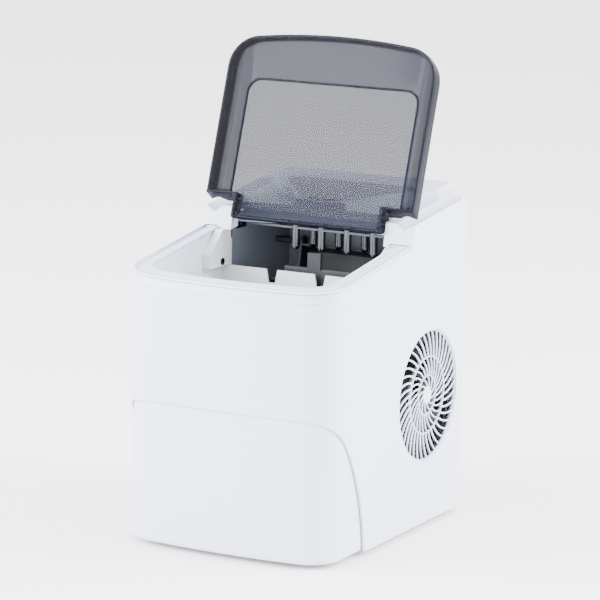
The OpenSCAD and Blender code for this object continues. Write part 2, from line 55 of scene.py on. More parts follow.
# %% Camera
TURN, DIP, ROLL = math.radians(27.28), math.radians(10.44), math.radians(1.48)
camera = bpy.data.objects.new("camera", bpy.data.cameras.new("camera"))
camera.data.lens = 187.7
camera.data.clip_end = 20
camera.matrix_world = (Matrix.Translation((1.34496, -2.60159, 0.76089)) @ Matrix.Rotation(TURN, 4, "Z")
                       @ Matrix.Rotation(math.pi / 2 - DIP, 4, "X") @ Matrix.Rotation(ROLL, 4, "Z"))
bpy.context.scene.collection.objects.link(camera)
bpy.context.scene.camera = camera
print("camera looks along", list(camera.matrix_world.to_3x3() @ Vector((0, 0, -1))))

# %% [markdown]
# A finish is a small network of nodes. Writing it as sums keeps it readable: the class Wire holds
# one socket, and adding or multiplying wires places the Math node that does it.
# Finish.node is the only other way a node is made: its type, its settings, then its sockets.


# %% Node arithmetic
class Wire:
    def __init__(self, finish, socket):
        self.finish = finish
        self.socket = socket

    def math(self, operation, first, second):
        return self.finish.node("ShaderNodeMath", {"operation": operation}, {0: first, 1: second})

    def __add__(self, other):
        return self.math("ADD", self, other)

    def __sub__(self, other):
        return self.math("SUBTRACT", self, other)

    def __rsub__(self, other):
        return self.math("SUBTRACT", other, self)

    def __mul__(self, other):
        return self.math("MULTIPLY", self, other)

    def at_least(self, least):
        return self.math("MAXIMUM", self, least)

    def root(self):
        return self.math("SQRT", self, 0.0)

    __radd__ = __add__
    __rmul__ = __mul__


class Finish:
    def __init__(self, name):
        self.material = bpy.data.materials.new(name)
        self.material.use_nodes = True
        self.tree = self.material.node_tree
        self.tree.nodes.clear()
        self.place = self.node("ShaderNodeTexCoord", {}, {}, "Object")

    def node(self, kind, settings, inputs, output=0):
        node = self.tree.nodes.new(kind)
        for name, value in settings.items():
            if name == "stops":
                for stop, (position, shade) in zip(node.color_ramp.elements, value):
                    stop.position = position
                    stop.color = shade
            else:
                setattr(node, name, value)
        for name, value in inputs.items():
            if isinstance(value, Wire):
                self.tree.links.new(value.socket, node.inputs[name])
            else:
                node.inputs[name].default_value = value
        return Wire(self, node.outputs[output]) if node.outputs else None

    def noise(self, scale, detail=3.0, stretch=(1, 1, 1)):
        place = self.node("ShaderNodeMapping", {}, {"Vector": self.place, "Scale": stretch})
        return self.node("ShaderNodeTexNoise", {}, {"Vector": place, "Scale": scale, "Detail": detail})

    def ramp(self, wire, low, high):
        stops = [(low, (0, 0, 0, 1)), (high, (1, 1, 1, 1))]
        return self.node("ShaderNodeValToRGB", {"stops": stops}, {"Fac": wire})

    def tint(self, mask, first, second):
        return self.node("ShaderNodeMix", {"data_type": "RGBA"}, {0: mask, 6: first, 7: second}, 2)

    def bump(self, height, depth, strength):
        return self.node("ShaderNodeBump", {}, {"Height": height, "Distance": depth, "Strength": strength})

    def surface(self, **sockets):
        shader = self.node("ShaderNodeBsdfPrincipled", {},
                           {name.replace("_", " "): value for name, value in sockets.items()})
        self.node("ShaderNodeOutputMaterial", {}, {"Surface": shader})
        return self.material


finishes = {}
print("finishes can be written as sums")

# %% [markdown]
# Most of the machine is moulded plastic. Real mouldings are never one flat colour: the tone drifts
# by a few percent over a hand's width, and a very fine grain breaks up the gloss.
# One recipe makes them all, from a colour, a roughness and the depth of the grain in metres.


# %% Moulded plastics
def shade(colour, share):
    return (*[channel * share for channel in colour], 1)


def moulded(name, colour, roughness, depth=0.00003, drift=0.97, **extra):
    finish = Finish(name)
    cloud = finish.noise(7)
    grain = finish.noise(1500, 2)
    finishes[name] = finish.surface(
        Base_Color=finish.tint(finish.ramp(cloud, 0.35, 0.65), shade(colour, drift), shade(colour, 1)),
        Roughness=roughness + 0.1 * (grain - 0.5),
        Normal=finish.bump(grain, depth, 0.5), **extra)


WHITE = (0.60, 0.645, 0.79)
moulded("shell_white", WHITE, 0.42, drift=0.985)
moulded("collar_white", WHITE, 0.42, drift=0.985)
moulded("grille_white", WHITE, 0.4, drift=0.985)
moulded("pan_grey", (0.52, 0.53, 0.56), 0.5)
moulded("liner_white", (0.66, 0.68, 0.72), 0.32)
moulded("foam", (0.82, 0.82, 0.77), 0.9, 0.0006)
moulded("chamber_grey", (0.11, 0.122, 0.15), 0.35)
moulded("film_grey", (0.30, 0.31, 0.36), 0.45, 0.000004)
moulded("lamp_clear", (0.7, 0.76, 0.82), 0.2)
moulded("button_silver", (0.3, 0.31, 0.34), 0.25, Metallic=0.3)
moulded("circuit_green", (0.01, 0.09, 0.035), 0.35, drift=0.8)
moulded("dark_plastic", (0.012, 0.012, 0.014), 0.5, drift=0.8)
moulded("compressor_black", (0.006, 0.006, 0.007), 0.28, 0.0002, drift=0.8)
moulded("foot_rubber", (0.012, 0.012, 0.013), 0.85, drift=0.7)
moulded("mount_rubber", (0.01, 0.01, 0.01), 0.85, drift=0.7)
# tray_grey is almost black, far darker than the tray's grey plastic: painted shade for the shadow deep inside
# the ice chamber.
moulded("tray_grey", (0.010, 0.012, 0.017), 0.6)
moulded("basket_white", (0.78, 0.8, 0.83), 0.4)
moulded("sensor_black", (0.004, 0.004, 0.005), 0.1, drift=0.7)
moulded("hose_clear", (0.6, 0.6, 0.57), 0.4)
moulded("gear_white", (0.68, 0.68, 0.66), 0.45)
print(len(finishes), "moulded finishes")

# %% [markdown]
# Metals differ from plastics in one way that shows: their grain runs along the part.
# Stretching the noise in one direction draws those fine lines without any picture. Drawn copper
# tube shows no lines, so its noise is the same in every direction.


# %% Metals
def metal(name, colour, roughness, stretch, drift=0.85):
    finish = Finish(name)
    lines = finish.noise(300, 4, stretch)
    finishes[name] = finish.surface(
        Base_Color=finish.tint(finish.ramp(lines, 0.3, 0.7), shade(colour, drift), shade(colour, 1)),
        Roughness=roughness + 0.2 * (lines - 0.5), Metallic=1.0,
        Normal=finish.bump(lines, 0.00002, 0.4))


metal("motor_steel", (0.5, 0.5, 0.52), 0.35, (1, 1, 8))
metal("fin_aluminium", (0.7, 0.71, 0.73), 0.3, (1, 8, 1))
metal("copper", (0.72, 0.34, 0.2), 0.3, (3, 3, 3), 0.7)
metal("finger_steel", (0.2, 0.205, 0.22), 0.2, (6, 6, 0.3), 0.6)
metal("pin_steel", (0.6, 0.6, 0.63), 0.3, (0.3, 5, 5))
print(len(finishes), "finishes with the metals")

# %% [markdown]
# The lid is clear acrylic with a grey smoke tint. True glass would bend what lies behind it, and a
# thin flat lid hardly does, so a dark tint with part of the light let straight through is closer.
# Light that meets the rim travels along the sheet, so the rim lets much less through.


# %% Smoked acrylic
TILT, LID_SWING = math.radians(8.23), math.radians(116)
HINGE = Vector((0, 26, 297.5))
RIM, FRONT = 258.0, -150.0
RIB_HALF, RIB_FRONT, RIB_BEND = 91.5, 50.0, 14.0
PER_20_MM = 50
lid_place = (Matrix.Translation(HINGE) @ Matrix.Rotation(-LID_SWING, 4, "X") @ Matrix.Translation(-HINGE)
             @ Matrix.Translation((0, FRONT, RIM)) @ Matrix.Rotation(TILT, 4, "X"))


def smoked(name, colour, cover, border):
    finish = Finish(name)
    haze = finish.noise(12)
    back = lid_place.inverted()
    on_lid = finish.node("ShaderNodeMapping", {}, {
        "Vector": finish.place, "Location": back.translation / 1000, "Rotation": back.to_euler()})
    flat = finish.node("ShaderNodeVectorMath", {"operation": "ABSOLUTE"}, {0: on_lid})
    x = finish.node("ShaderNodeSeparateXYZ", {}, {"Vector": flat}, "X")
    s = finish.node("ShaderNodeSeparateXYZ", {}, {"Vector": on_lid}, "Y")
    aside = (x - (RIB_HALF - RIB_BEND) / 1000).at_least(0.0)
    ahead = ((RIB_FRONT + RIB_BEND) / 1000 - s).at_least(0.0)
    reach = (aside * aside + ahead * ahead).root()
    bend_share = RIB_BEND * PER_20_MM / 1000
    outside = finish.ramp(reach * PER_20_MM, bend_share - 0.01, bend_share + 0.01)
    finishes[name] = finish.surface(
        Base_Color=shade(colour, 1), Roughness=0.05 + 0.04 * haze,
        Alpha=cover + border * outside + 0.03 * (haze - 0.5), Specular_IOR_Level=0.05)


smoked("smoked_clear", (0.013, 0.0145, 0.027), 0.67, 0.12)
smoked("smoked_edge", (0.007, 0.0075, 0.014), 0.90, 0.0)
print(len(finishes), "finishes in all")

# %% [markdown]
# The body has one outline: a shallow bulge in front, two round corners, straight sides and small
# rear corners. Plan holds the front part as one arc and two corner arcs. A place on it is a number:
# 0 in the middle, 1 where the corner starts, 2 where the side starts, and negative on the left.
# Moving inwards only shrinks the radii, so walls of even thickness come free.

# %% Sizes, in millimetres
HALF, BACK = 112.0, 150.0
WALL, STEP, GAP = 2.5, 0.8, 5.0
SEAM_TOP, SEAM_REACH, SEAM_BEND = 140.0, 83.0, 1.7


def rim(y, rise=0.0):
    return RIM + (y - FRONT) * math.tan(TILT) + rise / math.cos(TILT)


class Plan:
    def __init__(self, half, front, corner, bulge):
        self.half, self.corner, self.bulge = half, corner, bulge
        self.middle = front + bulge
        self.corner_x = half - corner
        self.corner_y = self.middle - math.sqrt((bulge - corner) ** 2 - self.corner_x ** 2)
        self.turn = math.atan2(self.corner_y - self.middle, self.corner_x)

    def edge(self, place, inset=0.0):
        share = abs(place)
        if share <= 1:
            angle = -math.pi / 2 + share * (self.turn + math.pi / 2)
            radius, x, y = self.bulge - inset, 0.0, self.middle
        else:
            angle = self.turn * (2 - share)
            radius, x, y = self.corner - inset, self.corner_x, self.corner_y
        x += radius * math.cos(angle)
        return (x if place >= 0 else -x), y + radius * math.sin(angle)


body_plan = Plan(HALF, FRONT, 37.0, 672.0)
print("the side starts at y =", round(body_plan.corner_y, 2))

# %% [markdown]
# Walls, rims and frames are all lofts: a closed profile is drawn at many stations and neighbours are
# joined. This keeps real thickness and a true small round on every edge that shows.


# %% Lofting
def span(first, last, count):
    return [first + (last - first) * step / count for step in range(count + 1)]


def quarter(count=4):
    return [(1 - math.sin(angle), 1 - math.cos(angle)) for angle in span(0, math.pi / 2, count)]


def new_piece(name, mesh, finish):
    piece = bpy.data.objects.new(name, mesh)
    bpy.context.scene.collection.objects.link(piece)
    for slot in [finish] if isinstance(finish, str) else finish:
        mesh.materials.append(finishes[slot])
    mesh.shade_smooth()
    return piece


def join_rows(draft, row, after, around=True):
    made = []
    for step in range(len(row) if around else len(row) - 1):
        onward = (step + 1) % len(row)
        made.append(draft.faces.new((row[step], row[onward], after[onward], after[step])))
    return made


def join_all(draft, rows):
    for row, after in zip(rows, rows[1:]):
        join_rows(draft, row, after)
    draft.faces.new(rows[0])
    draft.faces.new(rows[-1])


def loft(name, profiles, finish):
    draft = bmesh.new()
    join_all(draft, [[draft.verts.new(Vector(point) / 1000) for point in profile] for profile in profiles])
    return finish_mesh(name, draft, finish)


def finish_mesh(name, draft, finish):
    bmesh.ops.remove_doubles(draft, verts=draft.verts, dist=1e-6)
    bmesh.ops.recalc_face_normals(draft, faces=draft.faces)
    mesh = bpy.data.meshes.new(name)
    draft.to_mesh(mesh)
    draft.free()
    return new_piece(name, mesh, finish)


def soften(piece, width, segments=3, limit=35):
    mesh = piece.data
    mesh.shade_smooth()
    if width:
        weld = piece.modifiers.new("weld", "WELD")
        weld.merge_threshold = 0.000002
        flat = piece.modifiers.new("flat", "DECIMATE")
        flat.decimate_type = "DISSOLVE"
        flat.angle_limit = math.radians(0.5)
        bevel = piece.modifiers.new("round", "BEVEL")
        bevel.width = width / 1000
        bevel.segments = segments
        bevel.limit_method = "ANGLE"
        bevel.angle_limit = math.radians(limit)
        bevel.miter_outer = "MITER_ARC"
    even = piece.modifiers.new("even", "WEIGHTED_NORMAL")
    even.keep_sharp = True
    even.weight = 80
    return piece


def cut(piece, tool, operation="DIFFERENCE"):
    join = piece.modifiers.new("cut", "BOOLEAN")
    join.object = tool
    join.operation = operation
    join.solver = "EXACT"
    bpy.context.view_layer.update()
    shaped = bpy.data.meshes.new_from_object(piece.evaluated_get(bpy.context.evaluated_depsgraph_get()))
    piece.modifiers.remove(join)
    piece.data = shaped
    bpy.data.objects.remove(tool)
    return piece


def report(piece):
    size = [round(side * 1000, 1) for side in piece.dimensions]
    print(piece.name, len(piece.data.polygons), "faces,", size, "mm")


print("loft, soften and cut are ready")

# %% [markdown]
# The shell is the tall white wall. Its lower edge is the curved seam that sweeps down both sides.
# A wall is easiest to think of flat: a distance along the outline and a height. The seam is a curve
# in that flat picture, its round is set off square to the curve, and then the wall is wrapped round.


# %% The wall, unrolled
SIDE_START = math.radians(90) + body_plan.turn
FRONT_RUN = body_plan.bulge * SIDE_START
CORNER_RUN = FRONT_RUN + body_plan.corner * -body_plan.turn
REAR_R = 13.0
SIDE_RUN = CORNER_RUN + BACK - REAR_R - body_plan.corner_y
REAR_RUN = SIDE_RUN + REAR_R * math.pi / 2
END_RUN = REAR_RUN + HALF - REAR_R - 96.0


def wrap(run, inset):
    far = abs(run)
    if far <= FRONT_RUN:
        x, y = body_plan.edge(far / FRONT_RUN, inset)
    elif far <= CORNER_RUN:
        x, y = body_plan.edge(1 + (far - FRONT_RUN) / (CORNER_RUN - FRONT_RUN), inset)
    elif far <= SIDE_RUN:
        x, y = HALF - inset, body_plan.corner_y + far - CORNER_RUN
    elif far <= REAR_RUN:
        angle = (far - SIDE_RUN) / REAR_R
        x = HALF - REAR_R + (REAR_R - inset) * math.cos(angle)
        y = BACK - REAR_R + (REAR_R - inset) * math.sin(angle)
    else:
        x, y = HALF - REAR_R - (far - REAR_RUN), BACK - inset
    return (x if run >= 0 else -x), y


def seam_height(y):
    reach = min(max((y - FRONT) / SEAM_REACH, 0.0), 1.0)
    return SEAM_TOP * (1 - reach ** SEAM_BEND) ** (1 / SEAM_BEND)


seam_end = FRONT + SEAM_REACH * (1 - (GAP / SEAM_TOP) ** SEAM_BEND) ** (1 / SEAM_BEND)
seam_runs = span(0, FRONT_RUN, 14)[:-1] + span(FRONT_RUN, CORNER_RUN, 20)
seam_ys = [FRONT + SEAM_REACH * math.cos(angle) ** (2 / SEAM_BEND) for angle in span(math.pi / 3, 0, 30)]
seam_runs += [CORNER_RUN + y - body_plan.corner_y for y in seam_ys
              if body_plan.corner_y + 1 < y < seam_end - 0.05]
seam_runs.append(CORNER_RUN + seam_end - body_plan.corner_y)
seam = [(run, seam_height(wrap(run, 0)[1])) for run in seam_runs]
print("the seam has", len(seam), "stations on each side and ends at y =", round(seam_end, 1))


# %% [markdown]
# The seam's round has to leave the curve at a right angle, or it would be thin where the seam is
# steep. So every station also gets its own direction into the wall. Along the straight bottom edge
# behind the seam that direction is simply up.


# %% Square to the seam
def square(curve):
    found = []
    for step in range(len(curve)):
        before, after = curve[max(step - 1, 0)], curve[min(step + 1, len(curve) - 1)]
        along = Vector((after[0] - before[0], after[1] - before[1])).normalized()
        found.append(Vector((-along.y, along.x)))
    found[0] = Vector((0, 1))
    return found


seam_square = square(seam)
corner_square = (seam_square[-1] + Vector((0, 1))) / (1 + seam_square[-1].y)
lower_edge = list(zip(seam[:-1], seam_square[:-1])) + [(seam[-1], corner_square)]
side_ys = span(-60, 15.99, 8) + [16.01] + span(24, BACK - REAR_R, 8)
lower_edge += [((CORNER_RUN + y - body_plan.corner_y, GAP), Vector((0, 1))) for y in side_ys]
lower_edge += [((run, GAP), Vector((0, 1))) for run in span(SIDE_RUN, REAR_RUN, 8)[1:] + [END_RUN]]


def both_sides(stations, build):
    left = [build(station, -1) for station in reversed(stations[1:])]
    return left + [build(station, 1) for station in stations]


print(len(lower_edge), "stations from the middle of the front to the rear opening")

# %% [markdown]
# In front, the shell stands a little behind the collar and a fine line shows between them. On the
# sides the two are one smooth face, so the step and the line fade out behind the corners.


# %% Outer shell
STAND_BACK, LIP, TOP_ROUND = 0.55, 1.1, 0.35
GRILLE = Vector((111.2, 63, 131))
GRILLE_HOLE_R = 63.7


def fade(y, first, last):
    share = min(max((y - first) / (last - first), 0.0), 1.0)
    return share * share * (3 - 2 * share)


def skirt(y):
    return 11.0 - 7.8 * fade(y, -100, -60) if y < 16 else 0.2


def shell_station(station, side):
    (run, height), out = station
    inset = STAND_BACK * (1 - fade(wrap(run, 0)[1], -118, -80))
    points = [(run, height, STEP + WALL)]
    points += [(run + out.x * LIP * up, height + out.y * LIP * up, inset + LIP * back)
               for back, up in quarter()]
    run += out.x * LIP
    top = rim(wrap(run, 0)[1]) - skirt(wrap(run, 0)[1])
    small = TOP_ROUND * inset / STAND_BACK
    points += [(run, top - small, inset), (run, top, inset + small + 0.001), (run, top, STEP + WALL)]
    return [(*wrap(side * along, depth), z) for along, z, depth in points]


shell = loft("shell", both_sides(lower_edge, shell_station), "shell_white")
bpy.ops.mesh.primitive_cylinder_add(vertices=128, radius=GRILLE_HOLE_R / 1000, depth=0.03,
                                    location=Vector((HALF, GRILLE.y, GRILLE.z)) / 1000,
                                    rotation=(0, math.pi / 2, 0))
cut(shell, bpy.context.active_object)
soften(shell, 0)
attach(shell, "housing")
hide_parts("outer_shell")
report(shell)

# %% [markdown]
# The lower front panel sits a few millimetres behind the shell, which leaves the soft shadow line
# along the seam. It runs up behind the shell's edge, and its own bottom edge is generously rounded.


# %% Lower front panel
PANEL, TUCK = 3.3, 3.6


def panel_station(station, side):
    (run, height), out = station
    run, top = run + out.x * TUCK, max(height + out.y * TUCK, GAP + 0.6)
    heel = min(5.0, (top - GAP) * 0.45)
    points = [(GAP, PANEL + WALL)]
    points += [(GAP + heel * up, PANEL + heel * 0.6 * back) for back, up in quarter()]
    points += [(top, PANEL), (top, PANEL + WALL)]
    return [(*wrap(side * run, depth), z) for z, depth in points]


panel = loft("front_panel", both_sides(list(zip(seam, seam_square)), panel_station), "shell_white")
soften(panel, 0)
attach(panel, "housing")
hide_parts("lower_front_panel")
report(panel)

# %% [markdown]
# The collar is the white frame round the bin's mouth. It follows the body outside and the bin inside,
# and the two outlines are not quite parallel, so each station joins a point on one to a point on the
# other. The right inner edge steps in beside the hinge. Its top is one sloping plane.

# %% Bin collar
MOUTH_HALF = 94.5
mouth = Plan(MOUTH_HALF, FRONT + 16, 27.0, 656.0)
COLLAR_END = 16.0
OUTER_ROUND, INNER_ROUND, EDGE_ROUND = 2.6, 2.0, 0.35


def mouth_edge(place, y, side):
    if abs(place) < 2:
        return mouth.edge(place)
    share = (y - body_plan.corner_y) / (COLLAR_END - body_plan.corner_y)
    y = mouth.corner_y + share * (COLLAR_END - mouth.corner_y)
    narrow = min(max((y + 17) / 29, 0.0), 1.0) * 7.9 if side > 0 else 0.0
    return side * (MOUTH_HALF - narrow), y


def collar_station(station, side):
    place, y = station
    depth = skirt(y - 0.01)

    def outer(inset):
        if place < 2:
            return body_plan.edge(side * place, inset)
        return side * (HALF - inset), y
    inner_x, inner_y = mouth_edge(side * place, y, side)
    outward = Vector((outer(0)[0] - inner_x, outer(0)[1] - inner_y)).normalized()

    def inner(away):
        return inner_x + outward.x * away, inner_y + outward.y * away
    points = [(outer(STEP + WALL), -depth), (outer(EDGE_ROUND), -depth), (outer(0), EDGE_ROUND - depth)]
    points += [(outer(OUTER_ROUND * across), -OUTER_ROUND * up) for across, up in quarter()]
    points += [(inner(INNER_ROUND * across), -INNER_ROUND * up) for across, up in reversed(quarter())]
    points += [(inner(0), -14.0), (inner(2.2), -14.0), (inner(2.2), -3.2), (outer(STEP + WALL), -3.2)]
    return [(x, y, rim(y) + rise) for (x, y), rise in points]


collar_stations = [(place, body_plan.edge(place)[1]) for place in span(0, 1, 14)[:-1] + span(1, 2, 20)]
collar_stations += [(2, y) for y in span(body_plan.corner_y, COLLAR_END, 24)[1:]]
collar = loft("collar", both_sides(collar_stations, collar_station), "collar_white")
soften(collar, 0)
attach(collar, "housing")
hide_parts("bin_collar")
report(collar)

# %% [markdown]
# The lid is a shallow tray of smoked acrylic: a flat pane with a groove down each side, a sloping
# front and a short wall all round. It is drawn shut, lying on the rim plane, where it is easy to
# measure, and each point is then swung open about the hinge.

# %% Lid, section by section
LID_HALF, LID_TOP, LID_WALL = 110.7, 17.2, 2.8
LID_BACK, LID_LEAN, LID_CREST = 166.9, 5.9, 49
lid_plan = Plan(LID_HALF, 5.2, 32.0, 672.0)


def chain(points, where):
    for (first, low), (last, high) in zip(points, points[1:]):
        if where <= last:
            return low + (high - low) * (where - first) / (last - first)
    return points[-1][1]


def groove(x):
    section = [(0, LID_TOP), (93, LID_TOP), (101.5, LID_TOP - 6.5), (LID_HALF, LID_TOP - 0.5), (130, LID_TOP)]
    return sum(chain(section, abs(x) + shift) for shift in (-1.2, -0.4, 0.4, 1.2)) / 4


def lid_height(x, s):
    slope = [(0, 11.6), (LID_CREST, LID_TOP), (400, LID_TOP)]
    front = sum(chain(slope, s + shift) for shift in (0, 2, 4)) / 3 if s < LID_CREST else LID_TOP
    return min(groove(x), front)


def lid_places():
    turns = [LID_HALF - 32 + 0.1 * step * 32 for step in range(10)]
    turns += [93, 95, 97.5, 99.5, 101.5, 103.5, 105.5, 107.5, 109, 110, LID_HALF]
    places = span(0, 1, 14)[:-1]
    for x in sorted(turns):
        angle = -math.acos(min(max((x - lid_plan.corner_x) / lid_plan.corner, -1.0), 1.0))
        places.append(min(max(2 - angle / lid_plan.turn, 1.0), 2.0))
    places = sorted(set(round(place, 6) for place in places))
    return [-place for place in reversed(places[1:])] + places


columns = lid_places()
print(len(columns), "columns across the lid")


# %% [markdown]
# The lid is two sheets, an outer and an inner one, with a stack of rings between them that rounds
# the outer edge, turns under the wall's foot and climbs back up inside to a small fillet.


# %% Lid, as a closed tray
def lid_grid(inset, down):
    rows = [("front", share) for share in (0.0, 0.35, 0.7, 1.0)]
    rows += [("back", share) for share in (0.04, 0.1, 0.25, 0.4, 0.55, 0.7, 0.85, 0.95, 1.0)]
    grid = []
    for part, share in rows:
        row = []
        for place in columns:
            x, start = lid_plan.edge(place, inset)
            rear = LID_BACK + LID_LEAN * (LID_TOP - down) / LID_TOP - inset
            if part == "front":
                s = start + (LID_CREST - start) * share
            else:
                s = LID_CREST + (rear - LID_CREST) * share
            full_x = lid_plan.edge(place, 0)[0]
            row.append((x, s, lid_height(full_x, s) - down))
        grid.append(row)
    return grid


def border(grid):
    last = len(columns) - 1
    loop = [(0, column) for column in range(last + 1)]
    loop += [(row, last) for row in range(1, len(grid))]
    loop += [(len(grid) - 1, column) for column in range(last - 1, -1, -1)]
    return loop + [(row, 0) for row in range(len(grid) - 2, 0, -1)]


def lid_ring(grid, inset, level):
    ring = []
    for row, column in border(grid):
        _, s, top = grid[row][column]
        t = level(top)
        x, start = lid_plan.edge(columns[column], inset)
        if row == 0:
            s = start
        elif row == len(grid) - 1:
            s = LID_BACK + LID_LEAN * t / LID_TOP - inset
        ring.append((x, s, t))
    return ring


LID_ROUND, LID_FILLET, LID_LOW = 3.0, 2.0, 0.3
top_grid = lid_grid(LID_ROUND, 0.0)
under_grid = lid_grid(LID_WALL + LID_FILLET, LID_WALL)
rings = []
for back, up in quarter()[1:]:
    rings.append(lid_ring(top_grid, LID_ROUND * back, lambda top, up=up: top - LID_ROUND * up))
foot = [(0, 0.8), (0.3, 0.2), (0.9, 0)]
for inset, rise in foot:
    rings.append(lid_ring(top_grid, inset, lambda top, rise=rise: LID_LOW + rise))
for inset, rise in reversed(foot):
    rings.append(lid_ring(under_grid, LID_WALL - inset, lambda top, rise=rise: LID_LOW + rise))
for back, up in reversed(quarter()):
    rings.append(lid_ring(under_grid, LID_WALL + LID_FILLET * back,
                          lambda top, up=up: top - LID_FILLET * up))
print(len(rings), "rings round the lid's wall")


# %% [markdown]
# Sheets and rings are joined into one closed skin, and the faces of the wall take the darker finish.


# %% Lid, meshed
def lid_mesh():
    draft = bmesh.new()

    def place(point):
        return draft.verts.new(lid_place @ Vector(point) / 1000)
    sheets = []
    for grid in (top_grid, under_grid):
        sheets.append([[place(point) for point in row] for row in grid])
        for row, after in zip(sheets[-1], sheets[-1][1:]):
            join_rows(draft, row, after, around=False)
    loops = [[sheets[0][row][column] for row, column in border(top_grid)]]
    loops += [[place(point) for point in ring] for ring in rings[:-1]]
    loops.append([sheets[1][row][column] for row, column in border(under_grid)])
    for loop, after in zip(loops, loops[1:]):
        for face in join_rows(draft, loop, after):
            face.material_index = 1
    return finish_mesh("lid_pane", draft, ["smoked_clear", "smoked_edge"])


lid = lid_mesh()
checked = bmesh.new()
checked.from_mesh(lid.data)
print("open edges in the lid:", sum(not edge.is_manifold for edge in checked.edges))
checked.free()
report(lid)

# %% [markdown]
# Behind the pane the lid narrows to a tab between two hinge blocks. The tab is hollow like the rest,
# so it is added as one rounded bar and a smaller bar is cut out of it. Only its far edge is thick,
# and that edge looks almost black.

# %% Lid tab
TAB_HALF, HOLLOW_HALF, TAB_FRONT = 79.8, 76.5, 164
tab_side = [(165, 0.3), (165.6, 16.0), (168.4, LID_TOP), (175, LID_TOP), (180, 16.6), (184, 15.2),
            (187, 12.6), (188.9, 10.2), (189.9, 7.4), (190, 5), (189.7, 1), (188.8, -0.4),
            (176.6, -0.5), (175.6, 0.2)]
hollow_side = [(150, -2), (150, LID_TOP - LID_WALL), (174.5, LID_TOP - LID_WALL), (179.5, 13.5),
               (182.7, 12.2), (185.4, 9.6), (186.8, 7.0), (187, 5), (186.4, -2)]


def bar(name, outline, stations):
    middle = Vector((179, 8))
    rows = []
    for x, shrink in stations:
        rows.append([lid_place @ Vector((x, *(middle + (Vector(point) - middle) * shrink)))
                     for point in outline])
    return loft(name, rows, ["smoked_clear", "smoked_edge"])


tab_stations = [(-TAB_HALF, 0.95), (1 - TAB_HALF, 1.0), (TAB_HALF - 1, 1.0), (TAB_HALF, 0.95)]
cut(lid, bar("tab", tab_side, tab_stations), "UNION")
cut(lid, bar("hollow", hollow_side, [(-HOLLOW_HALF, 1.0), (HOLLOW_HALF, 1.0)]))
back_to_lid = lid_place.inverted()
for face in lid.data.polygons:
    x, s, t = back_to_lid @ (face.center * 1000)
    out = back_to_lid.to_3x3() @ face.normal
    at_edge = s > 186 or abs(x) > HOLLOW_HALF - 1 or t < 0.6
    if s > TAB_FRONT and at_edge and abs(out.z) < 0.9:
        face.material_index = 1
soften(lid, 0)
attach(lid, "lid")
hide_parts("lid")
report(lid)

# %% [markdown]
# A low rib runs round the flat pane in the shape of a U and stiffens it. Its outline is two straight
# runs and two corner bends, and a small rounded section is carried along it.

# %% Stiffening rib
rib_line = [(RIB_HALF, s, 0.0) for s in span(163.5, RIB_FRONT + RIB_BEND, 6)]
for angle in span(0, math.pi / 2, 10)[1:]:
    rib_line.append((RIB_HALF - RIB_BEND * (1 - math.cos(angle)),
                     RIB_FRONT + RIB_BEND * (1 - math.sin(angle)), angle))
rib_line += [(-x, s, math.pi - angle) for x, s, angle in reversed(rib_line)]
rib_section = [(-1.1, 0.3), (-1.0, -1.0), (-0.6, -1.4), (0.6, -1.4), (1.0, -1.0), (1.1, 0.3)]
rib_rows = []
for x, s, angle in rib_line:
    across = Vector((math.cos(angle), -math.sin(angle)))
    rib_rows.append([lid_place @ Vector((x + across.x * aside, s + across.y * aside, LID_TOP - LID_WALL + up))
                     for aside, up in rib_section])
rib = loft("lid_rib", rib_rows, "smoked_edge")
soften(rib, 0)
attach(rib, "lid")
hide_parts("lid")
report(rib)

# %% [markdown]
# The side grille is three rings of bars that swirl the same way, fewer and more slanted in each ring
# as they go in. Each bar is a thin strip with a rounded face, bent along its length, so it is lofted
# from a few short stations.

# %% Side grille
grille_rings = [(40, 37.6, 62.4, 12, 1.9), (28, 19.0, 37.4, 18, 1.6), (12, 7.6, 19.0, 30, 1.6)]
bar_section = [(-0.5, -1.9), (-0.5, -0.7), (-0.36, -0.3), (0, -0.1), (0.36, -0.3), (0.5, -0.7), (0.5, -1.9)]


def on_side(radius, angle, proud):
    return GRILLE + Vector((proud, radius * math.cos(angle), radius * math.sin(angle)))


def swirl_bar(draft, first, last, start, sweep, width):
    rows = []
    for share in span(0, 1, 6):
        radius = first + (last - first) * share
        angle = start + sweep * (share ** 1.25)
        row = [on_side(radius, angle + across * width / radius, proud) for across, proud in bar_section]
        rows.append([draft.verts.new(point / 1000) for point in row])
    join_all(draft, rows)


def hoop(draft, low_r, high_r, front, depth=-2.6):
    section = [(low_r, depth), (low_r, front - 0.5), (low_r + 0.5, front), (high_r - 0.5, front),
               (high_r, front - 0.5), (high_r, depth)]
    rows = [[draft.verts.new(on_side(radius, angle, proud) / 1000) for radius, proud in section]
            for angle in span(0, 2 * math.pi, 120)[:-1]]
    for row, after in zip(rows, rows[1:] + rows[:1]):
        join_rows(draft, row, after)


draft = bmesh.new()
for count, first, last, sweep, width in grille_rings:
    for number in range(count):
        swirl_bar(draft, first, last, 2 * math.pi * number / count, math.radians(sweep), width)
for low_r, high_r, front in [(62.2, 63.65, 0.0), (36.8, 38.1, -0.1), (18.4, 19.6, -0.1), (0.8, 8.7, -0.1)]:
    hoop(draft, low_r, high_r, front)
grille = finish_mesh("swirl_grille", draft, "grille_white")
soften(grille, 0)
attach(grille, "housing")
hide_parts("side_grille")
report(grille)

# %% [markdown]
# The top cover is the white block behind the bin: a gently rising top, a groove down each side that
# carries on from the lid's, a raised console shaped like a shield, and a notch where the lid turns.
# Each simple shape gets its own soft edges first; joining and cutting them then gives the cover.

# %% Cover block
COVER_Z, COVER_RISE, CONSOLE = 301.0, 0.122, 25.0


def cover_top(y, down=0.0):
    return COVER_Z + (y - 18) * COVER_RISE - down


def bend(centre, radius, first, last, count):
    angles = [math.radians(angle) for angle in span(first, last, count)]
    return [(centre[0] + radius * math.cos(angle), centre[1] + radius * math.sin(angle)) for angle in angles]


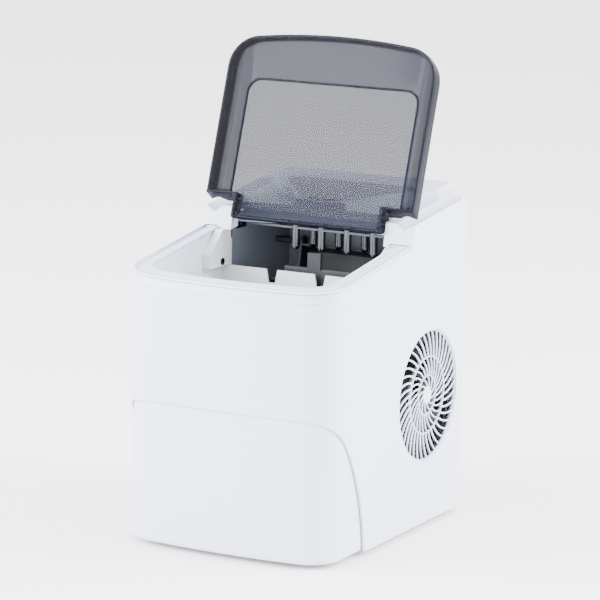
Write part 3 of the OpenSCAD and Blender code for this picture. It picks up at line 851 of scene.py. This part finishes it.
def block_loop(inset, front, level):
    loop = []
    for x, y, radius, start in [(-HALF, front, 2.5, 180), (HALF, front, 2.5, 270),
                                (HALF, BACK, REAR_R, 0), (-HALF, BACK, REAR_R, 90)]:
        reach = max(radius, inset + 0.3)
        centre = (x - math.copysign(reach, x), y + (reach if y < 100 else -reach))
        loop += bend(centre, reach - inset, start, start + 90, 8)
    return [(x, y, level(y)) for x, y in loop]


EDGE = 1.4
block = [block_loop(inset, front, lambda y, rise=rise: rim(y, rise))
         for inset, front, rise in ((0.4, 15.2, -3.0), (0.25, 15.9, 0.02), (0, 16.1, 0.3))]
block.append(block_loop(0, 19.5, lambda y: cover_top(y, EDGE)))
block += [block_loop(EDGE * across, 19.7, lambda y, up=up: cover_top(y, EDGE * up))
          for across, up in reversed(quarter())]
cover = loft("cover", block, "collar_white")
report(cover)


# %% [markdown]
# The console's round is a stack of shrinking shields. The notch is cut after the console is joined on,
# so that its rear wall is clean, and a lower cut leaves room for the lid's tab underneath.


# %% Console and notch wall
CONSOLE_HALF, CONSOLE_LEAN, CONSOLE_ROUND = 91.5, 1.1, 1.6
NOTCH_HALF, NOTCH_BACK = 82, 37
THROUGH_LOW, THROUGH_HIGH = 240.0, 400.0


def shield(inset):
    side = CONSOLE_HALF - inset
    right = bend((side - 8, 122 + inset / 3), 8, -38.9, 0, 5)
    right += [(side - 0.4, 146 - inset), (side - 2.4, 148 - inset)]
    nose = bend((0, 68.4), 36.4 - inset, -137.9, -42.1, 20)
    return nose + right + [(-x, y) for x, y in reversed(right)]


def console_loop(inset, rise):
    return [(x, y, rim(y, CONSOLE) - rise) for x, y in shield(inset)]


console = [[(x, y, cover_top(y, 1.5)) for x, y in shield(0)]]
console += [console_loop(CONSOLE_LEAN + CONSOLE_ROUND * across, CONSOLE_ROUND * up)
            for across, up in reversed(quarter())]
cut(cover, loft("console", console, "collar_white"), "UNION")


def notch(grow, front):
    rear = bend((0, -539.6), 584.6 + grow, 82.2, 97.8, 16)
    side, back = NOTCH_HALF + grow, NOTCH_BACK + grow
    return [(-side, front), (side, front), (side, back)] + rear + [(-side, back)]


def prism(name, outline, *levels):
    return loft(name, [[(x, y, level(y)) for x, y in outline] for level in levels], "collar_white")


cut(cover, prism("notch_wall", notch(2.6, 33), lambda y: 286.0, lambda y: cover_top(y, 2)), "UNION")
cut(cover, prism("notch", notch(0, 0), lambda y: THROUGH_LOW, lambda y: THROUGH_HIGH))
cut(cover, prism("under_notch", notch(7, 30), lambda y: THROUGH_LOW, lambda y: 288.5))
report(cover)


# %% [markdown]
# The film lies in a shallow bed, and the same holes for the two buttons and the five lamps go through
# both, so the cover and the film always match.


# %% Grooves, film recess and holes
LAMPS = (-42, -21, 0, 21, 42)
LAMP_Y, LAMP_HOLE_R, BUTTON_Y = 97, 2.6, 57
BED, HOLE_REACH = 0.8, (-5, 9)


def groove_tool(side):
    lean = math.atan(COVER_RISE)
    section = [(89.5, 3), (101.5, -6.5), (111, -0.8), (116, -0.8), (116, 3)]
    return loft("groove", [[(side * x, 18 + along * math.cos(lean) - up * math.sin(lean),
                             COVER_Z + along * math.sin(lean) + up * math.cos(lean)) for x, up in section]
                           for along in (-20, 150)], "collar_white")


def film_outline(inset):
    return (bend((0, 69), 30 - inset, -126.9, -53.1, 16) + bend((60, 107), 8.5 - inset, -40, 90, 8)
            + bend((-60, 107), 8.5 - inset, 90, 220, 8))


console_place = Matrix.Rotation(TILT, 4, "X")


def on_console(y, x, across, up):
    centre = Vector((0, y, rim(y, CONSOLE)))
    return centre + console_place @ Vector((x, across, up))


def lens_tool(side):
    outline = [(side * (1.6 + 17.8 * math.cos(angle)), 9.4 * math.sin(angle))
               for angle in span(-math.pi / 2, math.pi / 2, 24)]
    return loft("hole", [[on_console(BUTTON_Y, *point, up) for point in outline]
                         for up in HOLE_REACH], "collar_white")


def lamp_tool(x):
    outline = bend((x, 0), LAMP_HOLE_R, 0, 345, 23)
    return loft("hole", [[on_console(LAMP_Y, *point, up) for point in outline]
                         for up in HOLE_REACH], "collar_white")


for side in (1, -1):
    cut(cover, groove_tool(side))
film_bed = prism("bed", film_outline(-0.2), lambda y: rim(y, CONSOLE - BED), lambda y: rim(y, CONSOLE + 9))
cut(cover, film_bed)
film = prism("panel_film", film_outline(0),
             lambda y: rim(y, CONSOLE - BED + 0.01), lambda y: rim(y, CONSOLE - 0.05))
for piece in (cover, film):
    for side in (1, -1):
        cut(piece, lens_tool(side))
    for x in LAMPS:
        cut(piece, lamp_tool(x))
soften(cover, 0.6, 2, 30)
film.data.materials.clear()
film.data.materials.append(finishes["film_grey"])
soften(film, 0.15, 1, 40)
for piece, node, slot in ((cover, "top_cover", "collar_white"), (film, "control_film", "film_grey")):
    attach(piece, "housing")
    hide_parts(node)
    report(piece)

# %% [markdown]
# The control film carries one small mark above each lamp: a ring with a stroke, a triangle, a star,
# a square and three bars. On the real film they are printed; here they stand a tenth of a millimetre
# above it, so they are real shapes and need no picture.

# %% Marks on the film
INK, ROOT = 0.05, 0.3


def stamp(draft, outline):
    join_all(draft, [[draft.verts.new(on_console(LAMP_Y, x, y, up) / 1000) for x, y in outline]
                     for up in (-ROOT, INK)])


def stroke(draft, x, y, length, angle, width=0.45):
    along = Vector((math.cos(angle), math.sin(angle))) * length / 2
    aside = Vector((-math.sin(angle), math.cos(angle))) * width / 2
    middle = Vector((x, y))
    stamp(draft, [middle - along - aside, middle + along - aside,
                  middle + along + aside, middle - along + aside])


def loop_mark(draft, x, y, radius, sides, turn=0.0):
    corners = [(x + radius * math.cos(angle + turn), y + radius * math.sin(angle + turn))
               for angle in span(0, 2 * math.pi, sides)]
    for first, last in zip(corners, corners[1:]):
        run = Vector(last) - Vector(first)
        middle = (Vector(first) + Vector(last)) / 2
        stroke(draft, middle.x, middle.y, run.length + 0.3, math.atan2(run.y, run.x))


draft = bmesh.new()
MARK_Y, BAR_STEP = 5.6, 1.1
loop_mark(draft, LAMPS[0], MARK_Y, 1.7, 12)
stroke(draft, LAMPS[0], MARK_Y + 0.8, 1.8, math.pi / 2)
loop_mark(draft, LAMPS[1], MARK_Y, 1.8, 3, math.pi / 2)
for angle in span(0, math.pi, 3)[:-1]:
    stroke(draft, LAMPS[2], MARK_Y, 3.6, angle)
loop_mark(draft, LAMPS[3], MARK_Y, 1.8, 4, math.pi / 4)
for rise in (0, BAR_STEP, -BAR_STEP):
    stroke(draft, LAMPS[4], MARK_Y + rise, 3.2, 0)
marks = finish_mesh("panel_marks", draft, "lamp_clear")
soften(marks, 0)
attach(marks, "housing")
report(marks)

# %% [markdown]
# Every other CAD node keeps its shape and gets the finish of its material slot. The ice shovel takes the
# tray's almost black finish instead, as painted shade for the dark chamber. Seven of the nodes, with edges
# that the eye can reach, are also rounded a little, and the basket is only shaded smooth.

# %% Carried pieces
ROUNDED = {"bin_tub": 0.8, "ice_sensor_box": 0.8, "evaporator_housing": 0.5,
           "ice_shovel": 0.6, "on_off_button": 0.5, "select_button": 0.5, "rear_panel": 0.5,
           "ice_basket": 0}
for row in frame["record"]["subparts"]:
    node = nodes[row["node"]]
    node.data.materials.clear()
    # The shovel's grey plastic gets the tray's almost black finish: painted shade for the chamber it sits in.
    node.data.materials.append(finishes["tray_grey" if row["node"] == "ice_shovel" else row["material_slot"]])
for name, width in ROUNDED.items():
    soften(nodes[name], width, 2)
print("CAD nodes in all:", len(nodes))

# %% [markdown]
# A white room lights white plastic best: a pale floor, an even sky, and two large soft lamps, the
# stronger in front and to the left, so that the right side falls one tone darker.

# %% Floor and light
bpy.ops.mesh.primitive_grid_add(x_subdivisions=8, y_subdivisions=8, size=14)
floor = bpy.context.active_object
floor.name = "floor"
ground = Finish("floor")
floor.data.materials.append(ground.surface(
    Base_Color=ground.tint(ground.noise(2), (0.93, 0.93, 0.93, 1), (0.95, 0.95, 0.95, 1)), Roughness=0.9))
world = bpy.data.worlds.new("room")
bpy.context.scene.world = world
world.use_nodes = True
world.node_tree.nodes["Background"].inputs["Color"].default_value = (1, 1, 1, 1)
world.node_tree.nodes["Background"].inputs["Strength"].default_value = 3.4


def lamp(name, place, size, power):
    light = bpy.data.lights.new(name, "AREA")
    light.size = size
    light.energy = power
    holder = bpy.data.objects.new(name, light)
    holder.location = place
    holder.rotation_euler = (Vector((0, 0, 0.2)) - Vector(place)).to_track_quat("-Z", "Y").to_euler()
    bpy.context.scene.collection.objects.link(holder)


lamp("front_lamp", (-2.0, -2.0, 1.3), 2.0, 300)
lamp("side_lamp", (2.4, 0.9, 1.3), 2.0, 260)
print("one floor, one sky, two lamps")

# %% [markdown]
# Last, the scene is brought up to date. The pieces were tied to their bodies as they were made.

# %% Finish
bpy.context.view_layer.update()
